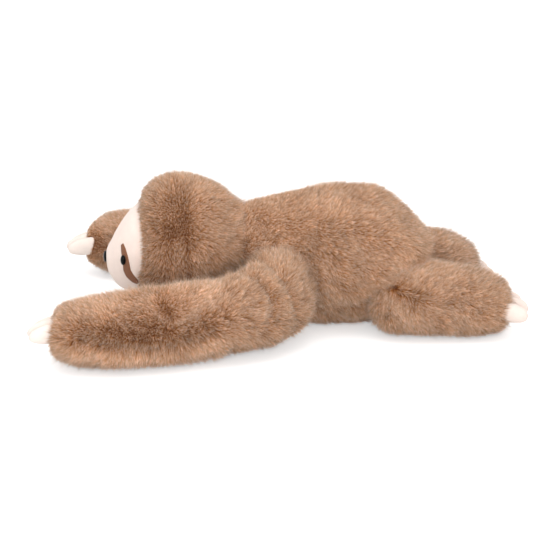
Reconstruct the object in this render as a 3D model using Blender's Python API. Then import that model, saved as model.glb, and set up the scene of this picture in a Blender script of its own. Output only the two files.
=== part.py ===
"""A plush sloth that lies on its belly, head towards -X, up +Z, in metres.

Each bag of fur fabric is a shell with its stuffing inside. Head, arms and legs end in a ball
that turns in a round seat of the bag that carries it.
"""

import math

import bmesh
import bpy
from mathutils import Vector

for old in list(bpy.data.objects):
    bpy.data.objects.remove(old)

# Fits, walls and mesh fineness
gap = 0.0003
turn_gap = 0.0004
cover_wall = 0.003
overrun = 0.02
body_count = 20
limb_count = 14
inner_count = 12
head_inner_count = 14
seat_count = 16
claw_count = 8

# Torso. Places along X are distances ahead of or behind the middle.
torso_front = 0.047
torso_rear = 0.169
torso_height = 0.1570
torso_half_width = 0.0820
belly_flat_depth = 0.004
torso_squareness = 2.08
belly_squareness = 1.55
neck_opening_radius = 0.015

# Head
neck_front = 0.088
neck_height = 0.087
neck_ball_radius = 0.0605
seam_front = 0.1680
hood_half_height = 0.0800
hood_half_width = 0.0790
hood_height = 0.091

# Face
face_depth = 0.0450
face_height = 0.090
face_half_height = 0.0550
face_half_width = 0.0540
eye_ahead_of_seam = 0.0185
eye_half_width = 0.0036
eye_half_height = 0.0056
eye_dome = 0.0034
eye_rim = 0.0008
eye_shank_radius = 0.0018
patch_thickness = 0.0009
washer_radius = 0.0055
washer_depth = 0.0056
washer_thickness = 0.0012
shank_tail = 0.0015
nose_half_width = 0.0075
nose_half_height = 0.0068
nose_depth = 0.0030
nose_height = 0.0765
nose_shank_radius = 0.002

# Arms
shoulder_front = 0.0060
shoulder_side = 0.062
shoulder_height = 0.069
shoulder_ball_radius = 0.0372
arm_bend_side = 0.119
arm_bend_height = 0.0570
elbow_front = 0.080
elbow_side = 0.1330
elbow_height = 0.0455
elbow_ball_radius = 0.0370
upper_arm_radius = 0.0375
forearm_radius = 0.0375
hand_front = 0.2555
hand_side = 0.161
hand_height = 0.0410
sleeve_opening_radius = 0.008

# Legs
hip_rear = 0.137
hip_side = 0.056
hip_height = 0.0425
hip_ball_radius = 0.0367
leg_radius = 0.0367
leg_length = 0.1200
right_leg_drawn_in = 0.024
right_leg_out = 0.006
right_leg_lift = 0.008
foot_height = 0.0360
foot_side = 0.057

# Claws
claw_half_height = 0.0115
hand_claw_reach = 0.0270
hand_claw_half_width = 0.0067
hand_claw_spacing = 0.0142
hand_claws_in = 0.005
hand_claw_height = 0.0445
hand_claw_root = 0.022
foot_claw_reach = 0.0255
foot_claw_half_width = 0.0093
foot_claws_in = 0
foot_claw_spacing = 0.024
foot_claw_height = 0.036
foot_claw_root = 0.022
side_claw_back = 0.004

# Place along the torso, top and bottom as shares of its height, and width
torso_shares = (
    (0.00, 0.860, 0.190, 0.615),
    (0.02, 0.885, 0.155, 0.680),
    (0.08, 0.903, 0.045, 0.810),
    (0.17, 0.925, 0.000, 0.930),
    (0.32, 0.962, 0.000, 0.985),
    (0.50, 1.000, 0.000, 1.00),
    (0.65, 0.995, 0.000, 0.99),
    (0.74, 0.965, 0.170, 0.965),
    (0.80, 0.905, 0.370, 0.92),
    (0.86, 0.825, 0.510, 0.84),
    (0.92, 0.735, 0.555, 0.68),
    (0.97, 0.665, 0.580, 0.42),
)
torso_tip_share = 0.62

# Place from the seam to the neck's axis, size, and how far the centre drops to the neck's height
hood_shares = (
    (0.000, 0.690, 0.14),
    (0.048, 0.765, 0.10),
    (0.133, 0.873, 0.04),
    (0.260, 0.946, 0.00),
    (0.494, 1.000, 0.05),
    (0.723, 0.982, 0.25),
    (0.952, 0.910, 0.50),
    (1.096, 0.843, 0.70),
    (1.184, 0.774, 0.85),
)
neck_ball_angles = (70, 54, 38, 20)

# Place ahead of the seam, drop of the centre, half height and half width
face_shares = (
    (0.000, 0.000, 1.000, 1.000),
    (0.116, 0.030, 0.978, 0.973),
    (0.256, 0.069, 0.931, 0.893),
    (0.442, 0.142, 0.832, 0.759),
    (0.605, 0.216, 0.716, 0.616),
    (0.744, 0.267, 0.578, 0.482),
    (0.860, 0.293, 0.414, 0.357),
    (0.953, 0.284, 0.270, 0.240),
)
face_tip_drop_share = 0.224

# Centre line of the eye stripe: place along the face, turn up from the side in degrees, half width
stripe_shares = (
    (0.492, 30, 0.32),
    (0.457, 20, 0.68),
    (0.415, 8, 0.88),
    (0.385, -3, 0.92),
    (0.370, -13, 0.98),
    (0.305, -21, 1.00),
    (0.185, -29, 0.84),
    (0.075, -34, 0.35),
)
eye_turn_up = 4

# Place along the forearm, side, height and radius
forearm_shares = (
    (0.110, 0.20, 0.15, 0.988),
    (0.235, 0.43, 0.30, 1.000),
    (0.420, 0.71, 0.40, 0.990),
    (0.610, 0.93, 0.50, 0.955),
    (0.734, 0.98, 0.60, 0.890),
    (0.820, 1.00, 0.70, 0.835),
    (0.900, 1.00, 0.80, 0.735),
    (0.952, 1.00, 0.90, 0.620),
    (0.986, 1.00, 1.00, 0.450),
)
# Place along the bend of the upper arm, radius, and turn from sideways to forwards in degrees.
# The last ring is the rim of the elbow seat.
upper_arm_shares = (
    (0.30, 0.920, 8),
    (0.41, 0.990, 20),
    (0.50, 0.935, 31),
    (0.58, 0.990, 41),
    (0.66, 0.990, 50),
    (0.78, 0.830, 66),
)

# Place along the leg, drop to the foot's height and radius
leg_shares = (
    (0.110, 0.00, 1.000),
    (0.280, 0.10, 1.000),
    (0.440, 0.25, 0.985),
    (0.590, 0.45, 0.950),
    (0.720, 0.65, 0.890),
    (0.820, 0.80, 0.800),
    (0.900, 0.90, 0.710),
    (0.965, 1.00, 0.540),
)
# Place along a claw and its size
hand_claw_shares = ((0.00, 0.90), (0.30, 1.00), (0.58, 0.92), (0.80, 0.66), (0.94, 0.36))
foot_claw_shares = ((0.00, 0.90), (0.30, 1.00), (0.62, 0.93), (0.82, 0.74), (0.95, 0.42))
claw_droop_share = 0.12

SIDES = (("l", -1), ("r", 1))
X = Vector((1, 0, 0))
Y = Vector((0, 1, 0))
Z = Vector((0, 0, 1))


class Form:
    """A closed form of rings along a line: (centre, axis, across, up, half width, half height)."""

    def __init__(self, rings, first_tip, last_tip, squareness=2.0, lower_squareness=2.0):
        self.rings = rings
        self.first_tip = first_tip
        self.last_tip = last_tip
        self.squareness = squareness
        self.lower_squareness = lower_squareness

    def point(self, index, turn):
        """A point on ring number index, which may lie between two rings, at this turn."""
        low = min(int(index), len(self.rings) - 2)
        share = index - low
        found = []
        for ring in self.rings[low : low + 2]:
            centre, _, across, up, width, height = ring
            c = math.cos(turn)
            s = math.sin(turn)
            power = 2 / (self.squareness if s > 0 else self.lower_squareness)
            side = math.copysign(abs(c) ** power, c)
            rise = math.copysign(abs(s) ** power, s)
            found.append(centre + across * side * width + up * rise * height)
        return found[0].lerp(found[1], share)

    def normal(self, index, turn):
        step = 0.01
        along = self.point(index + step, turn) - self.point(index - step, turn)
        round_it = self.point(index, turn + step) - self.point(index, turn - step)
        found = along.cross(round_it).normalized()
        low = min(int(index), len(self.rings) - 2)
        out = self.point(index, turn) - self.rings[low][0]
        return found if found.dot(out) > 0 else -found

    def mesh(self, name, count, inset=0):
        """The form as a mesh, its faces all moved inwards by inset."""
        bm = bmesh.new()
        loops = []
        for i in range(len(self.rings)):
            index = min(i, len(self.rings) - 2)
            share = i - index
            turns = [2 * math.pi * (k + 0.5) / count for k in range(count)]
            loops.append([bm.verts.new(self.point(index + share, t)) for t in turns])
        for one, two in zip(loops, loops[1:]):
            for k in range(count):
                n = (k + 1) % count
                bm.faces.new((one[k], one[n], two[n], two[k]))
        for tip, loop in ((self.first_tip, loops[0]), (self.last_tip, loops[-1])):
            if tip is None:
                bm.faces.new(loop)
                continue
            end = bm.verts.new(tip)
            for k in range(count):
                bm.faces.new((loop[k], loop[(k + 1) % count], end))
        bmesh.ops.recalc_face_normals(bm, faces=bm.faces)
        bmesh.ops.triangulate(bm, faces=bm.faces, quad_method="FIXED")
        bm.normal_update()
        moves = [v.normal * v.calc_shell_factor() * -inset for v in bm.verts]
        for vertex, move in zip(bm.verts, moves):
            vertex.co += move
        return solid(name, bm)


def solid(name, bm):
    """A new object from this mesh, with its faces outwards."""
    bmesh.ops.recalc_face_normals(bm, faces=bm.faces)
    mesh = bpy.data.meshes.new(name)
    bm.to_mesh(mesh)
    bm.free()
    obj = bpy.data.objects.new(name, mesh)
    bpy.context.scene.collection.objects.link(obj)
    return obj


def ball(name, centre, radius, count, axis=Z):
    """A round cutter whose flat facets stay outside this radius."""
    flat = math.cos(math.pi / count) ** 2
    bm = bmesh.new()
    rows = count // 2
    bmesh.ops.create_uvsphere(bm, u_segments=count, v_segments=rows, radius=radius / flat)
    turn = Z.rotation_difference(axis).to_matrix().to_4x4()
    bmesh.ops.transform(bm, matrix=turn, verts=bm.verts)
    bmesh.ops.translate(bm, vec=centre, verts=bm.verts)
    return solid(name, bm)


def rod(name, start, end, radius, count):
    axis = (end - start).normalized()
    across = axis.orthogonal().normalized()
    up = axis.cross(across)
    rings = [(start, axis, across, up, radius, radius), (end, axis, across, up, radius, radius)]
    return Form(rings, None, None).mesh(name, count)


def boolean(obj, other, operation="DIFFERENCE"):
    """Applies one exact Boolean and removes the cutter."""
    modifier = obj.modifiers.new("cut", "BOOLEAN")
    modifier.object = other
    modifier.operation = operation
    modifier.solver = "EXACT"
    bpy.context.view_layer.update()
    graph = bpy.context.evaluated_depsgraph_get()
    made = bpy.data.meshes.new_from_object(obj.evaluated_get(graph))
    obj.modifiers.clear()
    obj.data = made
    bpy.data.objects.remove(other)
    return obj


def cut_below(obj, height):
    """Cuts the form flat at this height and closes it there."""
    bm = bmesh.new()
    bm.from_mesh(obj.data)
    geometry = list(bm.verts) + list(bm.edges) + list(bm.faces)
    cut = bmesh.ops.bisect_plane(
        bm, geom=geometry, plane_co=Z * height, plane_no=Z, clear_inner=True
    )
    edges = [e for e in cut["geom_cut"] if isinstance(e, bmesh.types.BMEdge)]
    bmesh.ops.contextual_create(bm, geom=edges)
    bmesh.ops.recalc_face_normals(bm, faces=bm.faces)
    bm.to_mesh(obj.data)
    bm.free()


def line_rings(centres, sizes, first_axis=None, last_axis=None):
    """Rings square to a line through these centres, upright as far as the line allows."""
    rings = []
    for i, centre in enumerate(centres):
        before = centres[max(i - 1, 0)]
        after = centres[min(i + 1, len(centres) - 1)]
        axis = (after - before).normalized()
        if i == 0 and first_axis is not None:
            axis = first_axis
        if i == len(centres) - 1 and last_axis is not None:
            axis = last_axis
        across = Z.cross(axis).normalized()
        up = axis.cross(across)
        rings.append((centre, axis, across, up, sizes[i], sizes[i]))
    return rings


def ball_rings(centre, axis, radius, angles):
    """Rings of a ball, at angles in degrees from the pole that axis points away from."""
    across = Z.cross(axis).normalized()
    up = axis.cross(across)
    rings = []
    for degrees in angles:
        angle = math.radians(degrees)
        place = centre - axis * math.cos(angle) * radius
        size = math.sin(angle) * radius
        rings.append((place, axis, across, up, size, size))
    return rings


def mix(one, two, share):
    return one + (two - one) * share


MATERIALS = {}
COLOURS = {
    "fur": (0.36, 0.20, 0.12, 0.95),
    "face": (0.93, 0.83, 0.73, 0.9),
    "stripe": (0.28, 0.13, 0.08, 0.9),
    "claw": (0.90, 0.83, 0.75, 0.9),
    "black": (0.01, 0.01, 0.01, 0.15),
    "washer": (0.85, 0.85, 0.82, 0.4),
    "stuffing": (0.88, 0.88, 0.86, 1.0),
}


def finish(obj, name, kind, pivot):
    """Names the piece, gives it its own material and puts its origin on its joint."""
    red, green, blue, rough = COLOURS[kind]
    material = bpy.data.materials.new(name)
    material.use_nodes = True
    shader = material.node_tree.nodes["Principled BSDF"]
    shader.inputs["Base Color"].default_value = (red, green, blue, 1)
    shader.inputs["Roughness"].default_value = rough
    obj.data.materials.clear()
    obj.data.materials.append(material)
    for vertex in obj.data.vertices:
        vertex.co -= pivot
    obj.location = pivot
    obj.name = name
    obj.data.name = name
    return obj


# Places that several pieces share
neck = Vector((-neck_front, 0, neck_height))


def shoulder_of(side):
    return Vector((-shoulder_front, side * shoulder_side, shoulder_height))


def elbow_of(side):
    return Vector((-elbow_front, side * elbow_side, elbow_height))


def hip_of(side):
    return Vector((hip_rear, side * hip_side, hip_height))


origin = Vector((0, 0, 0))
neck_seat = neck_ball_radius + turn_gap
shoulder_seat = shoulder_ball_radius + turn_gap
elbow_seat = elbow_ball_radius + turn_gap
hip_seat = hip_ball_radius + turn_gap


def torso_form():
    rings = []
    length = torso_front + torso_rear
    for place, top, bottom, width in torso_shares:
        high = top * torso_height
        low = bottom * torso_height - belly_flat_depth
        centre = Vector((place * length - torso_front, 0, (high + low) / 2))
        rings.append((centre, X, Y, Z, width * torso_half_width, (high - low) / 2))
    tip = Vector((torso_rear, 0, torso_tip_share * torso_height))
    return Form(rings, None, tip, torso_squareness, belly_squareness)


def cut_seats(obj, grow, count):
    """Cuts the seats of head, arms and legs out of the torso, each larger by grow."""
    boolean(obj, ball("seat", neck, neck_seat + grow, count))
    for _, side in SIDES:
        boolean(obj, ball("seat", shoulder_of(side), shoulder_seat + grow, count, Y))
        boolean(obj, ball("seat", hip_of(side), hip_seat + grow, count))


def make_torso():
    form = torso_form()
    cover = form.mesh("torso_cover", body_count)
    cut_below(cover, 0)
    cut_seats(cover, 0, seat_count)
    hollow = form.mesh("hollow", inner_count, cover_wall)
    cut_below(hollow, cover_wall)
    cut_seats(hollow, cover_wall, inner_count)
    boolean(cover, hollow)
    start = neck + X * (neck_seat - overrun)
    end = neck + X * (neck_seat + overrun)
    boolean(cover, rod("opening", start, end, neck_opening_radius, inner_count))
    filling = form.mesh("torso_stuffing", inner_count, cover_wall + gap)
    cut_below(filling, cover_wall + gap)
    cut_seats(filling, cover_wall + gap, inner_count)
    finish(cover, "torso_cover", "fur", origin)
    finish(filling, "torso_stuffing", "stuffing", origin)


def hood_form():
    rings = []
    depth = seam_front - neck_front
    for place, size, drop in hood_shares:
        centre = Vector((place * depth - seam_front, 0, mix(hood_height, neck_height, drop)))
        rings.append((centre, X, Y, Z, size * hood_half_width, size * hood_half_height))
    for degrees in neck_ball_angles:
        angle = math.radians(degrees)
        centre = neck + X * math.cos(angle) * neck_ball_radius
        size = math.sin(angle) * neck_ball_radius
        rings.append((centre, X, Y, Z, size, size))
    return Form(rings, None, neck + X * neck_ball_radius)


def face_form():
    rings = []
    for place, drop, height, width in face_shares:
        x = -seam_front - gap - place * face_depth
        centre = Vector((x, 0, face_height - drop * face_half_height))
        rings.append((centre, -X, Y, Z, width * face_half_width, height * face_half_height))
    tip_height = face_height - face_tip_drop_share * face_half_height
    return Form(rings, None, Vector((-seam_front - gap - face_depth, 0, tip_height)))


def mouth_plug(form, inset, ahead):
    """A plug through the open end of a bag, from this far ahead of its rim to well inside."""
    centre, axis, across, up, width, height = form.rings[0]
    sizes = (across, up, width - inset, height - inset)
    first = (centre - axis * ahead, axis, *sizes)
    last = (centre + axis * cover_wall * 2, axis, *sizes)
    return Form([first, last], None, None)


def empty_bag(cover, form):
    """Hollows a bag that is open at its first ring."""
    boolean(cover, form.mesh("hollow", head_inner_count, cover_wall))
    boolean(cover, mouth_plug(form, cover_wall, overrun).mesh("plug", head_inner_count))


def head_filling(hood, face):
    """One filling through hood and face."""
    inset = cover_wall + gap
    filling = hood.mesh("head_stuffing", head_inner_count, inset)
    front = face.mesh("front", head_inner_count, inset)
    plug = mouth_plug(face, inset, cover_wall * 2).mesh("plug", head_inner_count)
    boolean(filling, plug, "UNION")
    boolean(filling, front, "UNION")
    return filling


def face_place(face, share):
    """Ring number on the face for a place ahead of the seam."""
    places = [row[0] for row in face_shares]
    for i in range(len(places) - 1):
        if share <= places[i + 1]:
            return i + (share - places[i]) / (places[i + 1] - places[i])
    return len(places) - 1


def stripe_mesh(name, face, side):
    """The eye stripe: a thin curved patch that lies on the face, a gap above it."""
    bm = bmesh.new()
    steps = 2
    under = []
    over = []
    rows = len(stripe_shares)
    middles = []
    for place, degrees, half in stripe_shares:
        turn = math.radians(degrees)
        turn = math.pi - turn if side < 0 else turn
        index = face_place(face, place)
        middles.append((index, turn, half * eye_half_height))
    points = [face.point(i, t) for i, t, _ in middles]
    for r in range(rows):
        index, turn, half = middles[r]
        ahead = points[min(r + 1, rows - 1)] - points[max(r - 1, 0)]
        normal = face.normal(index, turn)
        across = normal.cross(ahead).normalized()
        low = []
        high = []
        for k in range(-steps, steps + 1):
            target = points[r] + across * half * k / steps
            foot, out = nearest_on(face, index, turn, target)
            low.append(bm.verts.new(foot + out * gap * 2))
            high.append(bm.verts.new(foot + out * (gap * 2 + patch_thickness)))
        under.append(low)
        over.append(high)
    for grid in (under, over):
        for one, two in zip(grid, grid[1:]):
            for k in range(2 * steps):
                bm.faces.new((one[k], one[k + 1], two[k + 1], two[k]))
    rim_low = under[0] + [row[-1] for row in under[1:-1]] + under[-1][::-1]
    rim_low += [row[0] for row in under[-2:0:-1]]
    rim_high = over[0] + [row[-1] for row in over[1:-1]] + over[-1][::-1]
    rim_high += [row[0] for row in over[-2:0:-1]]
    for k in range(len(rim_low)):
        n = (k + 1) % len(rim_low)
        bm.faces.new((rim_low[k], rim_low[n], rim_high[n], rim_high[k]))
    return solid(name, bm)


def nearest_on(face, index, turn, target):
    """The point of the face near a target, found by short steps over its two directions."""
    step = 0.02
    for _ in range(12):
        here = face.point(index, turn)
        along = (face.point(index + step, turn) - here) / step
        round_it = (face.point(index, turn + step) - here) / step
        miss = target - here
        index += max(-0.3, min(0.3, miss.dot(along) / along.length_squared))
        turn += max(-0.2, min(0.2, miss.dot(round_it) / round_it.length_squared))
        index = max(0.02, min(len(face.rings) - 1.05, index))
    return face.point(index, turn), face.normal(index, turn)


def button_form(foot, out, up, wide, tall, depth, rim):
    """The dome of an eye or nose that stands on its foot point."""
    across = up.cross(out).normalized()
    up = out.cross(across)
    rings = [(foot, out, across, up, wide * 0.94, tall * 0.94)]
    rings.append((foot + out * rim, out, across, up, wide, tall))
    for degrees in (28, 52, 74):
        angle = math.radians(degrees)
        lift = rim + math.sin(angle) * (depth - rim)
        size = math.cos(angle)
        rings.append((foot + out * lift, out, across, up, wide * size, tall * size))
    return Form(rings, None, foot + out * depth)


def make_head():
    hood = hood_form()
    face = face_form()
    head_cover = hood.mesh("head_cover", body_count)
    empty_bag(head_cover, hood)
    face_panel = face.mesh("face_panel", body_count)
    empty_bag(face_panel, face)
    filling = head_filling(hood, face)
    for letter, side in SIDES:
        turn = math.radians(eye_turn_up)
        turn = math.pi - turn if side < 0 else turn
        index = face_place(face, eye_ahead_of_seam / face_depth)
        foot = face.point(index, turn)
        out = face.normal(index, turn)
        stripe = stripe_mesh("eye_patch_" + letter, face, side)
        seat = foot + out * (gap * 4 + patch_thickness)
        dome = button_form(seat, out, Z, eye_half_width, eye_half_height, eye_dome, eye_rim)
        eye = dome.mesh("eye_" + letter, claw_count)
        fit_button(eye, seat, foot, out, eye_shank_radius, (face_panel, stripe), filling, letter)
        finish(stripe, "eye_patch_" + letter, "stripe", neck)
        finish(eye, "eye_" + letter, "black", neck)
    foot = Vector((-seam_front - gap - face_depth, 0, nose_height))
    seat = foot - X * gap
    dome = button_form(seat, -X, Z, nose_half_width, nose_half_height, nose_depth, eye_rim)
    nose = dome.mesh("nose", claw_count + 2)
    fit_button(nose, seat, foot, -X, nose_shank_radius, (face_panel,), filling, "nose")
    finish(nose, "nose", "black", neck)
    finish(head_cover, "head_cover", "fur", neck)
    finish(face_panel, "face_panel", "face", neck)
    finish(filling, "head_stuffing", "stuffing", neck)


def fit_button(button, seat, foot, out, shank_radius, skins, filling, name):
    """Gives a button its shank, cuts its holes and sets its lock washer inside the face."""
    inside = washer_depth
    tail = inside + washer_thickness + shank_tail
    shank = rod("shank", foot - out * tail, seat + out * eye_rim, shank_radius, claw_count)
    boolean(button, shank, "UNION")
    for skin in skins:
        ends = (foot - out * overrun / 2, seat + out * overrun / 2)
        boolean(skin, rod("hole", *ends, shank_radius + gap, claw_count))
    lower = foot - out * (inside + washer_thickness)
    upper = foot - out * inside
    washer = rod("washer", lower, upper, washer_radius, claw_count + 2)
    ends = (lower - out * overrun, upper + out * overrun)
    boolean(washer, rod("bore", *ends, shank_radius + gap, claw_count))
    deep = foot - out * (tail + gap)
    ends = (deep, foot + out * overrun / 2)
    boolean(filling, rod("recess", *ends, washer_radius + gap, claw_count + 2))
    label = "nose_washer" if name == "nose" else "eye_washer_" + name
    finish(washer, label, "washer", neck)


def bend(one, two, three, share):
    return mix(mix(one, two, share), mix(two, three, share), share)


def upper_arm_form(side):
    shoulder = shoulder_of(side)
    elbow = elbow_of(side)
    corner = Vector((-shoulder_front, side * arm_bend_side, arm_bend_height))
    axis = Y * side
    rings = ball_rings(shoulder, axis, shoulder_ball_radius, (25, 48, 72, 98, 127))
    for place, size, degrees in upper_arm_shares:
        turn = math.radians(degrees)
        ahead = Vector((-math.sin(turn), side * math.cos(turn), 0))
        centre = bend(shoulder, corner, elbow, place)
        radius = size * upper_arm_radius
        rings.append((centre, ahead, Z.cross(ahead), Z, radius, radius))
    return Form(rings, shoulder - axis * shoulder_ball_radius, None)


def forearm_form(side):
    elbow = elbow_of(side)
    hand = Vector((-hand_front, side * hand_side, hand_height))
    centres = []
    sizes = []
    for place, out, drop, size in forearm_shares:
        x = mix(elbow.x, hand.x, place)
        y = mix(elbow.y, hand.y, out)
        centres.append(Vector((x, y, mix(elbow.z, hand.z, drop))))
        sizes.append(size * forearm_radius)
    axis = (centres[0] - elbow).normalized()
    rings = ball_rings(elbow, axis, elbow_ball_radius, (25, 48, 72, 96))
    rings += line_rings(centres, sizes, None, -X)
    return Form(rings, elbow - axis * elbow_ball_radius, hand)


def leg_form(side):
    hip = hip_of(side)
    length = leg_length - (right_leg_drawn_in if side > 0 else 0)
    out = foot_side + (right_leg_out if side > 0 else 0)
    lift = right_leg_lift if side > 0 else 0
    foot = Vector((hip_rear + length, side * out, foot_height))
    centres = []
    sizes = []
    for place, drop, size in leg_shares:
        x = mix(hip.x, foot.x, place)
        y = mix(hip.y, foot.y, place)
        z = mix(hip.z, foot.z, drop) + lift * math.sin(math.pi * place)
        centres.append(Vector((x, y, z)))
        sizes.append(size * leg_radius)
    rings = ball_rings(hip, X, hip_ball_radius, (25, 48, 72))
    rings += line_rings(centres, sizes, None, X)
    return Form(rings, hip - X * hip_ball_radius, foot)


def make_bag(form, name, letter, pivot, seats, pole, axis):
    """A cover with its stuffing, seats cut out of it and an opening at its pole."""
    cover = form.mesh(name + "_cover", limb_count)
    hollow = form.mesh("hollow", inner_count, cover_wall)
    filling = form.mesh(name + "_stuffing", inner_count, cover_wall + gap)
    for centre, radius in seats:
        boolean(cover, ball("seat", centre, radius, seat_count, X))
        boolean(hollow, ball("seat", centre, radius + cover_wall, seat_count // 2 + 2, X))
        boolean(filling, ball("seat", centre, radius + cover_wall + gap, seat_count // 2 + 2, X))
    boolean(cover, hollow)
    ends = (pole - axis * overrun, pole + axis * overrun)
    boolean(cover, rod("opening", *ends, sleeve_opening_radius, claw_count))
    finish(cover, f"{name}_cover_{letter}", "fur", pivot)
    finish(filling, f"{name}_stuffing_{letter}", "stuffing", pivot)


def make_claw(label, root, tip, half_width, shares, limb, pivot):
    """A blunt stuffed claw, cut off where the limb's surface takes it."""
    axis = (tip - root).normalized()
    length = (tip - root).length
    centres = []
    sizes = []
    for place, size in shares:
        droop = place * place * claw_droop_share * length
        centres.append(mix(root, tip, place) - Z * droop)
        sizes.append(size * claw_half_height)
    slim = half_width / claw_half_height
    rings = [(*ring[:4], ring[4] * slim, ring[5]) for ring in line_rings(centres, sizes, axis)]
    claw = Form(rings, None, tip - Z * claw_droop_share * length).mesh(label, claw_count)
    boolean(claw, limb.mesh("limb", limb_count, -gap))
    finish(claw, label, "claw", pivot)


def make_claws(kind, letter, side, limb, end, direction, sizes, shares, pivot):
    """Three claws side by side at the end of a limb, the outer two a little further back."""
    reach, spacing, inward, height, depth, half_width = sizes
    for number in (1, 2, 3):
        place = number - 2
        y = end.y - side * (place * spacing + inward)
        back = side_claw_back * abs(place)
        tip = Vector((end.x + direction * (reach - back), y, height))
        root = Vector((end.x - direction * (depth + back), y, height))
        make_claw(f"{kind}_claw_{letter}{number}", root, tip, half_width, shares, limb, pivot)


make_torso()
make_head()
for letter, side in SIDES:
    shoulder = shoulder_of(side)
    elbow = elbow_of(side)
    hip = hip_of(side)
    upper = upper_arm_form(side)
    fore = forearm_form(side)
    leg = leg_form(side)
    to_elbow = (elbow - upper.rings[-1][0]).normalized()
    pole = elbow - to_elbow * elbow_seat
    seats = ((elbow, elbow_seat),)
    make_bag(upper, "upper_arm", letter, shoulder, seats, pole, to_elbow)
    fore_axis = fore.rings[0][1]
    pole = elbow - fore_axis * elbow_ball_radius
    make_bag(fore, "forearm", letter, elbow, (), pole, fore_axis)
    make_bag(leg, "leg", letter, hip, (), hip - X * hip_ball_radius, X)
    hand_sizes = (
        hand_claw_reach,
        hand_claw_spacing,
        hand_claws_in,
        hand_claw_height,
        hand_claw_root,
        hand_claw_half_width,
    )
    hand = fore.last_tip
    make_claws("hand", letter, side, fore, hand, -1, hand_sizes, hand_claw_shares, elbow)
    foot_sizes = (
        foot_claw_reach,
        foot_claw_spacing,
        foot_claws_in,
        foot_claw_height,
        foot_claw_root,
        foot_claw_half_width,
    )
    foot = leg.last_tip
    make_claws("foot", letter, side, leg, foot, 1, foot_sizes, foot_claw_shares, hip)
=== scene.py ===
"""Looks of the plush sloth: stuffed covers, long pile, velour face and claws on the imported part."""

import math

import bmesh
import bpy
import numpy as np
from mathutils import Matrix, Vector
from mathutils.bvhtree import BVHTree
from mathutils.kdtree import KDTree


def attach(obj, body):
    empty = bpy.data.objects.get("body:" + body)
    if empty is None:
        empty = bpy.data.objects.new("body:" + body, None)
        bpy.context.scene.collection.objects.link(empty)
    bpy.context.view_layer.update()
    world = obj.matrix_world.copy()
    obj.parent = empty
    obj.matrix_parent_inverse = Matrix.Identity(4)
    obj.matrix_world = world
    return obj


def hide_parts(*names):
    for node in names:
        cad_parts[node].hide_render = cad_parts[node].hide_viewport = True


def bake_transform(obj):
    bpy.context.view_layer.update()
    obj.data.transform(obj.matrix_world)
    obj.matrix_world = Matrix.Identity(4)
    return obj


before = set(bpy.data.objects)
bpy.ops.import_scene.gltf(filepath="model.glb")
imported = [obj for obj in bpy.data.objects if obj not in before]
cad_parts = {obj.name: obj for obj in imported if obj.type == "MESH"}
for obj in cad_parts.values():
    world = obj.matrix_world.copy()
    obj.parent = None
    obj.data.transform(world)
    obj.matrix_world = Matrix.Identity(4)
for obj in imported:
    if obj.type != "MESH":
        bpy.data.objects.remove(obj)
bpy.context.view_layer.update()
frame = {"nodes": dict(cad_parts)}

X = Vector((1, 0, 0))
Y = Vector((0, 1, 0))
Z = Vector((0, 0, 1))
SIDES = (("l", -1), ("r", 1))
random = np.random.default_rng(11)

# Places and sizes of the part, in metres, with those of the limbs on the far side
neck = Vector((-0.088, 0, 0.087))
neck_ball = 0.0605
seam_x = -0.168
hood_half_width, hood_half_height, hood_middle = 0.079, 0.08, 0.091
face_depth, face_half_width, face_half_height, face_middle = 0.045, 0.054, 0.055, 0.09
torso_front, torso_rear, torso_height, torso_half_width = -0.047, 0.169, 0.157, 0.082
shoulder_at = (-0.006, 0.062, 0.069)
shoulder_ball = 0.0372
elbow_at = (-0.08, 0.133, 0.0455)
hand_at = (-0.2555, 0.161, 0.041)
arm_corner = (-0.006, 0.119, 0.057)
arm_radius = 0.0375
hip_at = (0.137, 0.056, 0.0425)
leg_radius = 0.0367
foot_side = 0.057
foot_height = 0.036
leg_lengths = {"l": 0.12, "r": 0.096}
leg_out = {"l": 0, "r": 0.006}
leg_lift = {"l": 0, "r": 0.008}
claw_half_height = 0.0115
claw_droop = 0.12
side_claw_back = 0.004
# Rows of claws, with place along a claw and its size at the end
hand_claws = {
    "reach": 0.027,
    "spacing": 0.0142,
    "inward": 0.005,
    "height": 0.0445,
    "root": 0.022,
    "half_width": 0.0067,
    "form": ((0.0, 0.9), (0.3, 1.0), (0.58, 0.95), (0.8, 0.76), (0.94, 0.48), (1.0, 0.06)),
}
foot_claws = {
    "reach": 0.028,
    "spacing": 0.024,
    "inward": 0.0,
    "height": 0.0365,
    "root": 0.022,
    "half_width": 0.0093,
    "form": ((0.0, 0.9), (0.3, 1.0), (0.62, 0.97), (0.82, 0.84), (0.95, 0.55), (1.0, 0.08)),
}
# The near hand's claws look a little longer in the photograph
near_claw_longer = 0.004
# Half width, half height and dome
eye_size = (0.0034, 0.006, 0.0026)
nose_size = (0.0075, 0.0068, 0.0028)
# Skins end this far over the table, and the claws are this much fuller than the solids
skin_floor = 0.0006
claw_skin = 0.0003

# Lines where the pile parts or a cover is drawn in, on the near side, mirrored for the far side.

# Along the outside of the forearm
FOREARM_PARTING = (
    (-0.222, -0.186, 0.0465), (-0.2087, -0.1928, 0.0457), (-0.1968, -0.1932, 0.0436),
    (-0.171, -0.192, 0.0407), (-0.1325, -0.1851, 0.0381), (-0.0991, -0.1764, 0.0417),
    (-0.0806, -0.1706, 0.0488),
)
# From the crown down behind the cheek
HEAD_PARTING = (
    (-0.12, -0.03, 0.16), (-0.1125, -0.0528, 0.1474), (-0.1099, -0.0646, 0.1318),
    (-0.1098, -0.0727, 0.114), (-0.1122, -0.0768, 0.0949), (-0.116, -0.0769, 0.072),
)
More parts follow.
